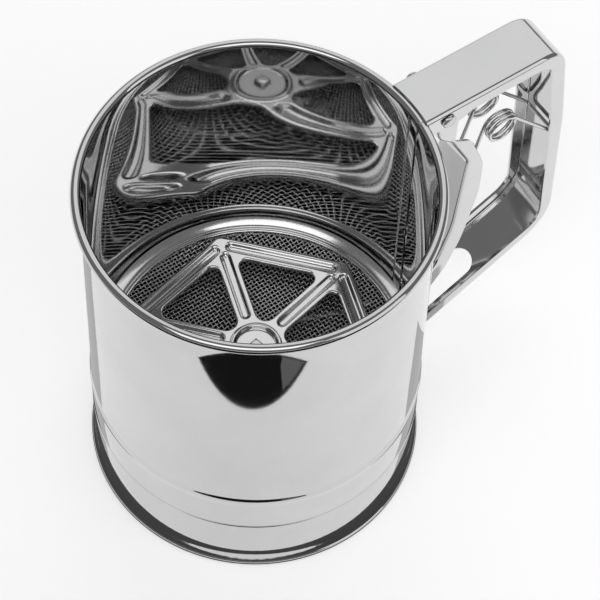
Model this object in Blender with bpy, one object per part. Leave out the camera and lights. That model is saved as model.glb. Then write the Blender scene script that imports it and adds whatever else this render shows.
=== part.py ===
"""A squeeze-handled flour sifter: a steel cup with a fixed screen, a star that sweeps over the screen,
and a sprung trigger in the handle that turns the star through a crank and a link.

Lengths are millimetres until they reach a mesh, which is in metres. Each shape is drawn about the cup's
own axis and then moved to CUP_X, so that the origin is the middle of the whole object's base.
"""

import math

import bmesh
import bpy
from mathutils import Matrix, Vector

MM = 0.001
GAP = 0.3                      # between pieces that touch on the real object

# Cup
CUP_RADIUS = 50.0
SKIRT_RADIUS = 50.15           # the wall below its formed step
SHEET = 0.5
CUP_HEIGHT = 130.2
STEP_TOP, STEP_BOTTOM = 41.0, 38.5
GROOVE_Z, GROOVE_DEPTH, GROOVE_HALF = 23.6, 0.3, 0.8
RIM_CURL, RIM_WIRE_RADIUS = 1.5, 0.7
BASE_BEAD, BASE_RADIUS, BASE_FLARE_Z = 1.1, 51.2, 6.2
CUP_SEGMENTS = 64

# Screen and its clamp rings
SCREEN_TOP, SCREEN_THICK, SCREEN_RADIUS = 40.3, 0.6, 47.5
RING_INNER, RING_OUTER, RING_SHEET = 44.5, 49.2, 0.5
RING_LIP_TOP, BAND_BOTTOM = 42.4, 24.9

# Star
STAR_APOTHEM, STAR_TURN, STAR_CORNER = 36.0, 12.4, 3.0
BAR_WIDTH, SPOKE_WIDTH = 6.6, 6.2
WINDOW_HUB_CORNER, WINDOW_CORNER = 3.0, 2.2
STAR_TOP, STAR_SHEET = 45.4, 0.8
HUB_RING_INNER, HUB_RING_OUTER, HUB_RING_TOP = 5.2, 6.9, 46.1

# Axle, from the top down: head, star, collar, eyelet and screen, washer, crank arm, lower head
AXLE_RADIUS, AXLE_HEAD_RADIUS, AXLE_HEAD = 2.0, 3.0, 1.0
EYELET_BARREL, EYELET_FLANGE, EYELET_SHEET = 3.0, 6.0, 0.4
WASHER_THICK, WASHER_RADIUS = 0.6, 5.0
CRANK_THICK, CRANK_WIDTH, CRANK_RADIUS = 1.2, 7.0, 15.0
CRANK_PIN_RADIUS, CRANK_PIN_HEAD_RADIUS = 1.5, 2.6
CRANK_PIN_HEAD, CRANK_PIN_FOOT = 0.8, 1.0
PIN_WASHER_RADIUS = 3.4
SPACER_RADIUS, EYELET_LIP_RADIUS = 3.6, 4.6
HEAD_TOP_SHARE = 0.8           # a peened head's flat top, as a share of its radius
CRANK_SWING = 25.7             # the crank's angle either side of square to the link

# Link
LINK_RADIUS, LINK_EYE_RADIUS = 1.1, 4.0
LINK_HEAD_RADIUS, LINK_COLLAR, LINK_COLLAR_RADIUS = 3.1, 1.0, 3.2
LINK_HOLE_RADIUS = 2.5         # wide, because the hole's path and the link's differ slightly
LINK_END_X = 55.5              # where the trigger's web carries the link
LINK_PLAY = 0.6                # between the web and the link's collar or head
LINK_SHIFT = 0.75              # half of the link's sideways travel
LINK_BEND_FROM, LINK_BEND_MIDDLE, LINK_BEND_TO = 33.0, 37.0, 41.0
LINK_BEND_START, LINK_BEND_HALF = 1.6, 0.5     # how far off the straight part's line the rod is there
LINK_HEAD, LINK_HEAD_TIP = 1.0, 2.0
LINK_SLOT_WIDTH, LINK_SLOT_HEIGHT = 4.8, 3.2

# Handle and trigger, in the plane of the handle
HANDLE_WIDTH, HANDLE_SHEET = 17.2, 0.9
TRIGGER_SHEET = 0.8
PIVOT_X, PIVOT_Z = 58.5, 127.2
PIVOT_RADIUS, PIVOT_HEAD_RADIUS, PIVOT_HEAD = 1.1, 1.75, 1.0
EAR_RADIUS = 2.4
HANG_SLOT_WIDTH, HANG_SLOT_FROM, HANG_SLOT_TO = 9.5, 57.0, 82.0

# Return spring
SPRING_WIRE = 0.6
COIL_X, COIL_Z, COIL_RADIUS = 82.7, 101.6, 4.85
COIL_PITCH, COIL_EXTRA_TURNS = 1.53, 2
SPRING_REAR_Y = 6.6
REAR_TANGENT, FRONT_TANGENT = 40.0, 165.7

STEEL = (0.74, 0.75, 0.76)
DARK_STEEL = (0.62, 0.63, 0.64)


# ---------------------------------------------------------------- outlines

def arc(cx, cy, radius, start, end, steps):
    """Points on an arc, from one angle to the other in degrees, both ends included."""
    points = []
    for i in range(steps + 1):
        angle = math.radians(start + (end - start) * i / steps)
        points.append((cx + radius * math.cos(angle), cy + radius * math.sin(angle)))
    return points


def rounded(corners, closed, steps=4):
    """A line through corners (x, y, radius), each rounded by an arc of its radius."""
    count = len(corners)
    points = []
    for i, (x, y, radius) in enumerate(corners):
        here = Vector((x, y))
        if radius == 0 or (not closed and i in (0, count - 1)):
            points.append((x, y))
            continue
        back = (Vector(corners[i - 1][:2]) - here).normalized()
        ahead = (Vector(corners[(i + 1) % count][:2]) - here).normalized()
        half = back.angle(ahead) / 2
        centre = here + (back + ahead).normalized() * (radius / math.sin(half))
        first = here + back * (radius / math.tan(half)) - centre
        last = here + ahead * (radius / math.tan(half)) - centre
        turn = first.angle_signed(last)
        for k in range(steps + 1):
            spoke = first.copy()
            spoke.rotate(Matrix.Rotation(-turn * k / steps, 2))
            points.append(tuple(centre + spoke))
    return points


def moved_inward(points, distance):
    """An open line moved to its left by a distance, keeping its corners."""
    result = []
    for i, point in enumerate(points):
        here = Vector(point)
        normals = []
        for a, b in ((i - 1, i), (i, i + 1)):
            if 0 <= a and b < len(points):
                along = (Vector(points[b]) - Vector(points[a])).normalized()
                normals.append(Vector((-along.y, along.x)))
        mean = (normals[0] + normals[-1]).normalized()
        result.append(tuple(here + mean * (distance / mean.dot(normals[0]))))
    return result


def handle_outer():
    """The outside of the handle's web, from the top of the cup round to its base."""
    return rounded([
        (46.0, 131.0, 0), (100.9, 130.4, 10.0), (104.6, 94.0, 80.0), (106.2, 38.8, 17.0), (46.0, 9.2, 0),
    ], closed=False)


def handle_flange_edge():
    """The free edge of the handle's flanges, from the top of the cup round to its base."""
    return rounded([
        (46.0, 123.6, 0), (64.0, 123.8, 4.0), (67.0, 125.6, 4.0), (95.8, 125.6, 5.0), (99.6, 89.0, 60.0),
        (101.4, 41.5, 8.0), (46.0, 15.6, 0),
    ], closed=False)


HANDLE_REACH = max(x for x, z in handle_outer())
CUP_X = -(HANDLE_REACH - (CUP_RADIUS - SHEET + 2 * RIM_CURL)) / 2


def trigger_web():
    """The outside of the trigger's web, which faces the cup, from its lower end up to its ears."""
    foot = LINK_END_X - TRIGGER_SHEET / 2
    return rounded([
        (foot, 29.0, 0), (foot, 39.0, 6.0), (62.6, 48.6, 14.0), (66.7, 62.0, 40.0), (69.6, 95.6, 8.0),
        (62.4, 111.0, 6.0), (57.6, 115.6, 5.0), (56.4, 121.5, 0),
    ], closed=False)


def trigger_outline():
    """The side view of the trigger's flanges, web included."""
    free_edge = rounded([
        (63.7, 122.6, 0), (63.3, 111.4, 2.0), (69.6, 107.4, 7.0), (75.6, 91.0, 22.0), (75.2, 76.0, 30.0),
        (70.4, 54.4, 40.0), (65.4, 42.4, 10.0), (60.2, 35.5, 4.0), (59.8, 29.0, 0),
    ], closed=False)
    ear = arc(PIVOT_X, PIVOT_Z, EAR_RADIUS, 180, 20, 8)
    return trigger_web() + ear + free_edge


# ---------------------------------------------------------------- objects

def steel(name, colour, roughness):
    material = bpy.data.materials.new(name)
    material.use_nodes = True
    shader = material.node_tree.nodes["Principled BSDF"]
    shader.inputs["Base Color"].default_value = (*colour, 1.0)
    shader.inputs["Roughness"].default_value = roughness
    shader.inputs["Metallic"].default_value = 1.0
    return material


def as_object(name, mesh, colour=STEEL, roughness=0.2, at=(0, 0)):
    """Puts a bmesh, drawn in millimetres about the cup's axis, in the scene as a named object.

    Its origin is the point `at` of the plan, so that a piece that turns has its origin on its axis.
    """
    bmesh.ops.remove_doubles(mesh, verts=mesh.verts, dist=1e-4)
    bmesh.ops.translate(mesh, verts=mesh.verts, vec=(-at[0], -at[1], 0))
    bmesh.ops.scale(mesh, verts=mesh.verts, vec=(MM, MM, MM))
    bmesh.ops.recalc_face_normals(mesh, faces=mesh.faces)
    data = bpy.data.meshes.new(name)
    mesh.to_mesh(data)
    mesh.free()
    data.shade_smooth()
    data.set_sharp_from_angle(angle=math.radians(35))
    data.materials.append(steel(name, colour, roughness))
    thing = bpy.data.objects.new(name, data)
    thing.location = ((CUP_X + at[0]) * MM, at[1] * MM, 0)
    bpy.context.scene.collection.objects.link(thing)
    return thing


def turned(profile, segments, centre=(0.0, 0.0)):
    """A closed outline of (radius, z) points spun round a vertical axis."""
    mesh = bmesh.new()
    verts = [mesh.verts.new((centre[0] + r, centre[1], z)) for r, z in profile]
    edges = [mesh.edges.new((verts[i - 1], verts[i])) for i in range(len(verts))]
    axle_edges = [e for e, i in zip(edges, range(len(verts))) if profile[i - 1][0] == 0 == profile[i][0]]
    for edge in axle_edges:
        edges.remove(edge)
        mesh.edges.remove(edge)
    bmesh.ops.spin(mesh, geom=verts + edges, cent=(*centre, 0), axis=(0, 0, 1), dvec=(0, 0, 0),
                   angle=2 * math.pi, steps=segments, use_merge=True, use_duplicate=False)
    return mesh


def slab(outline, low, high, lift):
    """A closed outline filled and given thickness; `lift` places (a, b, height) in space."""
    mesh = bmesh.new()
    face = mesh.faces.new([mesh.verts.new(lift(a, b, low)) for a, b in outline])
    raised = bmesh.ops.extrude_face_region(mesh, geom=[face])["geom"]
    step = Vector(lift(0, 0, high)) - Vector(lift(0, 0, low))
    bmesh.ops.translate(mesh, verts=[v for v in raised if isinstance(v, bmesh.types.BMVert)], vec=step)
    bmesh.ops.recalc_face_normals(mesh, faces=mesh.faces)
    return mesh


def flat(a, b, height):
    return (a, b, height)


def upright(a, b, height):
    return (a, height, b)


def join(meshes):
    """Several bmeshes as one."""
    whole = bmesh.new()
    for mesh in meshes:
        data = bpy.data.meshes.new("part_of_cutter")
        mesh.to_mesh(data)
        mesh.free()
        whole.from_mesh(data)
        bpy.data.meshes.remove(data)
    return whole


def boolean(thing, mesh, name, operation="DIFFERENCE", at=(0, 0)):
    """Cuts a bmesh out of an object, or adds it, with a live modifier."""
    tool = as_object(name, mesh, at=at)
    tool.hide_render = True
    tool.display_type = "WIRE"
    modifier = thing.modifiers.new(name, "BOOLEAN")
    modifier.operation = operation
    modifier.solver = "EXACT"
    modifier.object = tool


# ---------------------------------------------------------------- cup and screen

def body_outline():
    """Section of the wall: up the inside, round the rim's curl, down the outside, round the base's bead."""
    inside = CUP_RADIUS - SHEET
    skirt_inside = SKIRT_RADIUS - SHEET
    curl_x, curl_z = inside + RIM_CURL, CUP_HEIGHT - RIM_CURL
    bead_x = BASE_RADIUS - BASE_BEAD
    outline = [
        (skirt_inside, BASE_FLARE_Z), (skirt_inside, GROOVE_Z - GROOVE_HALF),
        (skirt_inside - GROOVE_DEPTH, GROOVE_Z), (skirt_inside, GROOVE_Z + GROOVE_HALF),
        (skirt_inside, STEP_BOTTOM), (inside, STEP_TOP),
    ]
    outline += arc(curl_x, curl_z, RIM_CURL, 180, -120, 10)
    outline += arc(curl_x, curl_z, RIM_CURL - SHEET, -120, 180, 7)
    outline += [
        (CUP_RADIUS, STEP_TOP), (SKIRT_RADIUS, STEP_BOTTOM), (SKIRT_RADIUS, GROOVE_Z + GROOVE_HALF),
        (SKIRT_RADIUS - GROOVE_DEPTH, GROOVE_Z), (SKIRT_RADIUS, GROOVE_Z - GROOVE_HALF),
        (SKIRT_RADIUS, BASE_FLARE_Z), (SKIRT_RADIUS + 0.1, 4.4), (SKIRT_RADIUS + 0.35, 3.0),
    ]
    outline += arc(bead_x, BASE_BEAD, BASE_BEAD, 55, -55, 4)
    outline += [(bead_x + 0.4, 0.0), (bead_x - 0.5, 0.0)]
    outline += arc(bead_x, BASE_BEAD, BASE_BEAD, -140, -205, 2)
    return outline


def link_slot():
    """The slot that the link passes through, in the cup's wall and in the clamp band."""
    half_width, half_height = LINK_SLOT_WIDTH / 2, LINK_SLOT_HEIGHT / 2
    outline = [(y, LINK_Z + z) for y, z in (
        (-half_width, -half_height), (half_width, -half_height), (half_width, half_height),
        (-half_width, half_height))]
    return slab(outline, 40.0, 60.0, lambda y, z, x: (x, y, z))


def make_cup():
    shell = as_object("body_shell", turned(body_outline(), CUP_SEGMENTS))
    boolean(shell, link_slot(), "body_slot_cutter")
    curl_x, curl_z = CUP_RADIUS - SHEET + RIM_CURL, CUP_HEIGHT - RIM_CURL
    wire = arc(curl_x, curl_z, RIM_WIRE_RADIUS, 0, 300, 5)
    as_object("rim_wire", turned(wire, CUP_SEGMENTS), DARK_STEEL, 0.35)


def ring(inner, outer, bottom, top):
    return [(inner, bottom), (outer, bottom), (outer, top), (inner, top)]


def make_screen():
    screen_bottom = SCREEN_TOP - SCREEN_THICK
    lip = RING_OUTER - RING_SHEET
    seat = SCREEN_TOP + GAP
    upper = [(RING_INNER, seat), (RING_OUTER, seat), (RING_OUTER, RING_LIP_TOP), (lip, RING_LIP_TOP),
             (lip - 0.3, seat + RING_SHEET), (RING_INNER, seat + RING_SHEET)]
    as_object("screen_ring_upper", turned(upper, CUP_SEGMENTS), STEEL, 0.22)
    under = screen_bottom - GAP
    band = [(RING_INNER, under - RING_SHEET), (lip, under - RING_SHEET), (lip, BAND_BOTTOM),
            (RING_OUTER, BAND_BOTTOM), (RING_OUTER, under), (RING_INNER, under)]
    lower = as_object("screen_ring_lower", turned(band, CUP_SEGMENTS), STEEL, 0.22)
    boolean(lower, link_slot(), "band_slot_cutter")
    disc = ring(EYELET_BARREL + GAP, SCREEN_RADIUS, screen_bottom, SCREEN_TOP)
    as_object("screen_mesh", turned(disc, CUP_SEGMENTS), DARK_STEEL, 0.4)


# ---------------------------------------------------------------- star, axle and crank

# Heights of the stack on the axle, from the star down
STAR_BOTTOM = STAR_TOP - STAR_SHEET
EYELET_TOP = SCREEN_TOP + GAP + EYELET_SHEET
EYELET_WASHER_TOP = SCREEN_TOP - SCREEN_THICK - GAP
EYELET_WASHER_BOTTOM = EYELET_WASHER_TOP - WASHER_THICK
EYELET_LIP_TOP = EYELET_WASHER_BOTTOM - GAP
EYELET_BOTTOM = EYELET_LIP_TOP - EYELET_SHEET
AXLE_WASHER_TOP = EYELET_BOTTOM - GAP
CRANK_TOP = AXLE_WASHER_TOP - WASHER_THICK - GAP
CRANK_BOTTOM = CRANK_TOP - CRANK_THICK
PIN_WASHER_TOP = CRANK_BOTTOM - GAP
LINK_TOP = PIN_WASHER_TOP - WASHER_THICK - GAP
LINK_Z = LINK_TOP - LINK_RADIUS
LINK_BOTTOM = LINK_Z - LINK_RADIUS
PIN_ANGLE = math.radians(90 + CRANK_SWING)
PIN_X, PIN_Y = CRANK_RADIUS * math.cos(PIN_ANGLE), CRANK_RADIUS * math.sin(PIN_ANGLE)


def turned_outline(outline, degrees):
    turn = Matrix.Rotation(math.radians(degrees), 2)
    return [tuple(turn @ Vector(point)) for point in outline]


def hexagon():
    """The star's outer edge, with rounded corners."""
    reach = STAR_APOTHEM / math.cos(math.radians(30))
    corners = []
    for k in range(6):
        angle = math.radians(60 * k)
        corners.append((reach * math.cos(angle), reach * math.sin(angle), STAR_CORNER))
    return rounded(corners, closed=True, steps=3)


def star_window():
    """The window between the spokes at -30 and +30 degrees: a triangle with rounded corners."""
    half = SPOKE_WIDTH / 2
    chord = STAR_APOTHEM - BAR_WIDTH
    rise = math.tan(math.radians(30))
    near = half / math.sin(math.radians(30))
    far = (chord - near) * rise
    return rounded([(near, 0, WINDOW_HUB_CORNER), (chord, -far, WINDOW_CORNER), (chord, far, WINDOW_CORNER)],
                   closed=True, steps=4)


def make_star():
    star = as_object("agitator_star", slab(turned_outline(hexagon(), STAR_TURN), STAR_BOTTOM, STAR_TOP, flat),
                     STEEL, 0.18)
    ring_outline = ring(HUB_RING_INNER, HUB_RING_OUTER, STAR_TOP - STAR_SHEET / 2, HUB_RING_TOP)
    boolean(star, turned(ring_outline, 32), "hub_ring", "UNION")
    windows = [slab(turned_outline(star_window(), STAR_TURN + 30 + 60 * k), STAR_BOTTOM - 1, STAR_TOP + 1,
                    flat)
               for k in range(6)]
    hole = turned(ring(0, AXLE_RADIUS + GAP, STAR_BOTTOM - 1, STAR_TOP + 1), 24)
    boolean(star, join(windows + [hole]), "star_cutter")


def rivet(radius, head_radius, bottom_radius, under_head, head, over_foot, foot):
    """Section of a pin with a head above and a peened foot below."""
    top = under_head + head
    low = over_foot - foot
    return [(0, low), (bottom_radius * HEAD_TOP_SHARE, low), (bottom_radius, low + foot * 0.4),
            (bottom_radius, over_foot), (radius, over_foot), (radius, under_head), (head_radius, under_head),
            (head_radius, under_head + head * 0.6), (head_radius * HEAD_TOP_SHARE, top), (0, top)]


def make_axle():
    axle = rivet(AXLE_RADIUS, AXLE_HEAD_RADIUS, AXLE_HEAD_RADIUS, STAR_TOP + GAP, AXLE_HEAD,
                 CRANK_BOTTOM - GAP, AXLE_HEAD)
    as_object("axle", turned(axle, 24), STEEL, 0.25)
    bore = AXLE_RADIUS + GAP
    spacer = ring(bore, SPACER_RADIUS, EYELET_TOP + GAP, STAR_BOTTOM - GAP)
    as_object("axle_spacer", turned(spacer, 24), STEEL, 0.3)
    eyelet = [(bore, EYELET_BOTTOM), (EYELET_LIP_RADIUS, EYELET_BOTTOM), (EYELET_LIP_RADIUS, EYELET_LIP_TOP),
              (EYELET_BARREL, EYELET_LIP_TOP), (EYELET_BARREL, EYELET_TOP - EYELET_SHEET),
              (EYELET_FLANGE, EYELET_TOP - EYELET_SHEET), (EYELET_FLANGE, EYELET_TOP), (bore, EYELET_TOP)]
    as_object("screen_eyelet", turned(eyelet, 24), STEEL, 0.25)
    eyelet_washer = ring(EYELET_BARREL + GAP, EYELET_FLANGE, EYELET_WASHER_BOTTOM, EYELET_WASHER_TOP)
    as_object("eyelet_washer", turned(eyelet_washer, 24), STEEL, 0.25)
    washer = ring(bore, WASHER_RADIUS, AXLE_WASHER_TOP - WASHER_THICK, AXLE_WASHER_TOP)
    as_object("axle_washer", turned(washer, 24), STEEL, 0.25)


def make_crank():
    half = CRANK_WIDTH / 2
    strip = arc(CRANK_RADIUS, 0, half, -90, 90, 8) + arc(0, 0, half, 90, 270, 8)
    strip = turned_outline(strip, math.degrees(PIN_ANGLE))
    arm = as_object("crank_arm", slab(strip, CRANK_BOTTOM, CRANK_TOP, flat), STEEL, 0.3)
    low, high = CRANK_BOTTOM - 1, CRANK_TOP + 1
    holes = [turned(ring(0, AXLE_RADIUS + GAP, low, high), 20),
             turned(ring(0, CRANK_PIN_RADIUS + GAP, low, high), 20, (PIN_X, PIN_Y))]
    boolean(arm, join(holes), "crank_cutter")
    pin = rivet(CRANK_PIN_RADIUS, CRANK_PIN_HEAD_RADIUS, CRANK_PIN_HEAD_RADIUS, CRANK_TOP + GAP,
                CRANK_PIN_HEAD, LINK_BOTTOM - GAP, CRANK_PIN_FOOT)
    as_object("crank_pin", turned(pin, 20, (PIN_X, PIN_Y)), STEEL, 0.25)
    washer = ring(CRANK_PIN_RADIUS + GAP, PIN_WASHER_RADIUS, PIN_WASHER_TOP - WASHER_THICK, PIN_WASHER_TOP)
    as_object("crank_pin_washer", turned(washer, 20, (PIN_X, PIN_Y)), STEEL, 0.25)


# ---------------------------------------------------------------- link

def rod_section(steps, radius, x, y):
    turns = [2 * math.pi * i / steps for i in range(steps)]
    return [(x, y + radius * math.cos(turn), LINK_Z + radius * math.sin(turn)) for turn in turns]


def loft(sections):
    """A closed body through rings of points, capped at both ends."""
    mesh = bmesh.new()
    rings = [[mesh.verts.new(point) for point in section] for section in sections]
    for a, b in zip(rings, rings[1:]):
        for i in range(len(a)):
            mesh.faces.new((a[i - 1], a[i], b[i], b[i - 1]))
    mesh.faces.new(rings[0])
    mesh.faces.new(reversed(rings[-1]))
    bmesh.ops.recalc_face_normals(mesh, faces=mesh.faces)
    return mesh


def make_link():
    """A flat eye on the crank pin, a dog-legged rod, and a peened head outside the trigger's web."""
    eye = turned(ring(0, LINK_EYE_RADIUS, LINK_BOTTOM, LINK_TOP), 24, (PIN_X, PIN_Y))
    link = as_object("link_rod", eye, STEEL, 0.25, at=(PIN_X, PIN_Y))
    sides = 12
    end_y = -LINK_SHIFT
    play = TRIGGER_SHEET / 2 + LINK_PLAY
    head_x = LINK_END_X + play
    radius = LINK_RADIUS - 0.02
    eye_grip = LINK_EYE_RADIUS - CRANK_PIN_RADIUS - 1.0
    stations = [(radius, PIN_X + eye_grip, PIN_Y - GAP), (radius, LINK_BEND_FROM, end_y + LINK_BEND_START),
                (radius, LINK_BEND_MIDDLE, end_y + LINK_BEND_HALF), (radius, LINK_BEND_TO, end_y),
                (radius, head_x, end_y), (LINK_HEAD_RADIUS, head_x, end_y),
                (LINK_HEAD_RADIUS, head_x + LINK_HEAD * 0.6, end_y),
                (LINK_HEAD_TIP, head_x + LINK_HEAD, end_y)]
    sections = [rod_section(sides, size, x, y) for size, x, y in stations]
    boolean(link, loft(sections), "rod_of_link", "UNION", at=(PIN_X, PIN_Y))
    bore = turned(ring(0, CRANK_PIN_RADIUS + GAP, LINK_BOTTOM - 1, LINK_TOP + 1), 20, (PIN_X, PIN_Y))
    boolean(link, bore, "link_bore_cutter", at=(PIN_X, PIN_Y))

    collar = turned(ring(LINK_RADIUS + GAP, LINK_COLLAR_RADIUS, -LINK_COLLAR, 0), 20)
    bmesh.ops.rotate(collar, verts=collar.verts, cent=(0, 0, 0), matrix=Matrix.Rotation(math.pi / 2, 3, "Y"))
    bmesh.ops.translate(collar, verts=collar.verts, vec=(LINK_END_X - play, end_y, LINK_Z))
    as_object("link_collar", collar, STEEL, 0.25, at=(PIN_X, PIN_Y))


# ---------------------------------------------------------------- handle, trigger and spring

def pivot_bar(radius, low, high, sides=20):
    """A round bar along Y on the trigger's pivot."""
    return slab(arc(PIVOT_X, PIVOT_Z, radius, 0, 360 * (1 - 1 / sides), sides - 1), low, high, upright)


def cup_clearance():
    """The cup's outside with a gap all round, to shape the handle's ends."""
    wall = SKIRT_RADIUS + GAP
    rim = CUP_RADIUS - SHEET + 2 * RIM_CURL + GAP
    under_rim = CUP_HEIGHT - 2 * RIM_CURL - GAP
    return turned([(0, -5), (wall, -5), (wall, under_rim), (rim, under_rim), (rim, 140), (0, 140)],
                  CUP_SEGMENTS)


def hang_slot():
    """The long slot in the lower arm's web, cut square to it."""
    (x0, z0), (x1, z1) = handle_outer()[-1], handle_outer()[-2]
    slope = math.atan2(z1 - z0, x1 - x0)
    half = HANG_SLOT_WIDTH / 2
    length = (HANG_SLOT_TO - HANG_SLOT_FROM) / math.cos(slope) - HANG_SLOT_WIDTH
    stadium = arc(length, 0, half, -90, 90, 8) + arc(0, 0, half, 90, 270, 8)
    mesh = slab(stadium, -3, 3, flat)
    start = HANG_SLOT_FROM + half * math.cos(slope)
    bmesh.ops.rotate(mesh, verts=mesh.verts, cent=(0, 0, 0), matrix=Matrix.Rotation(-slope, 3, "Y"))
    bmesh.ops.translate(mesh, verts=mesh.verts, vec=(start, 0, z0 + (start - x0) * math.tan(slope)))
    return mesh


def make_handle():
    outer, edge = handle_outer(), handle_flange_edge()
    half = HANDLE_WIDTH / 2
    handle = as_object("handle_channel", slab(outer + edge[::-1], -half, half, upright), STEEL, 0.2)
    inside = moved_inward(outer, -HANDLE_SHEET)
    beyond = moved_inward(edge, -2.0)
    hollow = [(45.0, inside[0][1])] + inside + [(45.0, inside[-1][1])] + [(45.0, beyond[-1][1])]
    hollow += beyond[::-1] + [(45.0, beyond[0][1])]
    boolean(handle, slab(hollow, HANDLE_SHEET - half, half - HANDLE_SHEET, upright), "handle_hollow_cutter")
    boolean(handle, cup_clearance(), "cup_clearance_cutter")
    boolean(handle, hang_slot(), "hang_slot_cutter")
    boolean(handle, pivot_bar(PIVOT_RADIUS + GAP, -half - 1, half + 1), "handle_pivot_cutter")

    shank = half + GAP
    stations = [(PIVOT_HEAD_RADIUS * 0.7, -shank - PIVOT_HEAD), (PIVOT_HEAD_RADIUS, -shank - PIVOT_HEAD * 0.5),
                (PIVOT_HEAD_RADIUS, -shank), (PIVOT_RADIUS, -shank + 0.001), (PIVOT_RADIUS, shank - 0.001),
                (PIVOT_HEAD_RADIUS, shank), (PIVOT_HEAD_RADIUS, shank + PIVOT_HEAD * 0.5),
                (PIVOT_HEAD_RADIUS * 0.7, shank + PIVOT_HEAD)]
    sections = [[upright(x, z, y) for x, z in arc(PIVOT_X, PIVOT_Z, radius, 0, 342, 19)]
                for radius, y in stations]
    as_object("pivot_pin", loft(sections), STEEL, 0.25)


def make_trigger():
    half = HANDLE_WIDTH / 2 - HANDLE_SHEET - GAP
    trigger = as_object("trigger_channel", slab(trigger_outline(), -half, half, upright), STEEL, 0.2,
                        at=(PIVOT_X, 0))
    inside = moved_inward(trigger_web(), -TRIGGER_SHEET)
    top = inside[-1][1]
    hollow = [(inside[0][0], 20.0)] + inside + [(50.0, top), (50.0, 140.0), (90.0, 140.0), (90.0, 20.0)]
    inner = half - TRIGGER_SHEET
    boolean(trigger, slab(hollow, -inner, inner, upright), "trigger_hollow_cutter", at=(PIVOT_X, 0))
    boolean(trigger, pivot_bar(PIVOT_RADIUS + GAP, -half - 1, half + 1), "trigger_pivot_cutter",
            at=(PIVOT_X, 0))
    hole = turned(ring(0, LINK_HOLE_RADIUS, -2.0, 2.0), 20)
    bmesh.ops.rotate(hole, verts=hole.verts, cent=(0, 0, 0), matrix=Matrix.Rotation(math.pi / 2, 3, "Y"))
    bmesh.ops.translate(hole, verts=hole.verts, vec=(LINK_END_X, 0, LINK_Z))
    boolean(trigger, hole, "trigger_link_cutter", at=(PIVOT_X, 0))


def spring_side():
    """One half of the spring, from the middle of its bridge to the end of its front leg."""
    rear = math.radians(REAR_TANGENT)
    front = math.radians(FRONT_TANGENT)
    start = Vector((COIL_X + COIL_RADIUS * math.cos(rear), 0, COIL_Z + COIL_RADIUS * math.sin(rear)))
    down = Vector((math.sin(rear), 0, -math.cos(rear)))
    reach = 25.6
    corner = start + down * reach
    points = [(corner.x, 0, corner.z), (corner.x, SPRING_REAR_Y - 1.8, corner.z)]
    points += [(corner.x, SPRING_REAR_Y - 0.5, corner.z + 0.3)]
    for along in (reach - 1.6, reach / 2):
        point = start + down * along
        points.append((point.x, SPRING_REAR_Y, point.z))
    sweep = front - rear + 2 * math.pi * COIL_EXTRA_TURNS
    steps = 28
    for i in range(steps + 1):
        angle = rear + sweep * i / steps
        drift = COIL_PITCH * sweep / (2 * math.pi) * i / steps
        points.append((COIL_X + COIL_RADIUS * math.cos(angle), SPRING_REAR_Y - drift,
                       COIL_Z + COIL_RADIUS * math.sin(angle)))
    last = Vector(points[-1])
    leg = Vector((-math.sin(front), 0, math.cos(front)))
    points += [tuple(last + leg * along) for along in (12.0, 34.5)]
    return points


def make_spring():
    side = spring_side()
    mirrored = [(x, -y, z) for x, y, z in side[1:]]
    path = mirrored[::-1] + side
    curve = bpy.data.curves.new("return_spring", "CURVE")
    curve.dimensions = "3D"
    curve.bevel_depth = SPRING_WIRE * MM
    curve.bevel_resolution = 2
    curve.use_fill_caps = True
    spline = curve.splines.new("POLY")
    spline.points.add(len(path) - 1)
    for point, (x, y, z) in zip(spline.points, path):
        point.co = (x * MM, y * MM, z * MM, 1)
    curve.materials.append(steel("return_spring", STEEL, 0.2))
    spring = bpy.data.objects.new("return_spring", curve)
    spring.location = (CUP_X * MM, 0, 0)
    bpy.context.scene.collection.objects.link(spring)


def main():
    for thing in list(bpy.data.objects):
        bpy.data.objects.remove(thing)
    make_cup()
    make_screen()
    make_star()
    make_axle()
    make_crank()
    make_link()
    make_handle()
    make_trigger()
    make_spring()


main()
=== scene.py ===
"""The looks of the flour sifter: fine meshes for its sheet-metal parts, screen, spring and hardware,
procedural steels, a pale floor and soft studio light.

Lengths are millimetres about the cup's own axis until they reach a mesh.
"""
import math

import bmesh
import bpy
import numpy as np
from mathutils import Matrix, Vector


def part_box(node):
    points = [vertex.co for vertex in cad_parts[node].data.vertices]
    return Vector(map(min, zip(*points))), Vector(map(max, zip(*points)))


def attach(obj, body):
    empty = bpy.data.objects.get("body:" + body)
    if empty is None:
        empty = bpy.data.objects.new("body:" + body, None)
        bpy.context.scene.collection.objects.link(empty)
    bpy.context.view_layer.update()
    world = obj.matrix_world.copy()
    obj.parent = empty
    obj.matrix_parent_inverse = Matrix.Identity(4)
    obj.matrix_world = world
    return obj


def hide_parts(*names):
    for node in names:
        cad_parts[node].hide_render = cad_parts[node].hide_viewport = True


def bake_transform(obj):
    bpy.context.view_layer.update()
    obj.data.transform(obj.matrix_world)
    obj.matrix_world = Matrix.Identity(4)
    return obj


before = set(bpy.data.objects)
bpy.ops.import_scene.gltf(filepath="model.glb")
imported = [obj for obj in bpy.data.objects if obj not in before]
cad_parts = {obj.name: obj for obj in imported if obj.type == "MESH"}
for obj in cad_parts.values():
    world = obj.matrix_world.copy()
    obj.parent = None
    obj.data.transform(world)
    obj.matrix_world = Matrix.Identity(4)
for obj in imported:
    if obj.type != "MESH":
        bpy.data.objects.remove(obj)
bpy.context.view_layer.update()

MM = 0.001


def span(node):
    """A CAD node's lowest and highest corner, in millimetres about the cup's axis."""
    low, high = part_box(node)
    shift = np.array([CUP_X, 0, 0])
    return np.array(low) / MM - shift, np.array(high) / MM - shift


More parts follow.
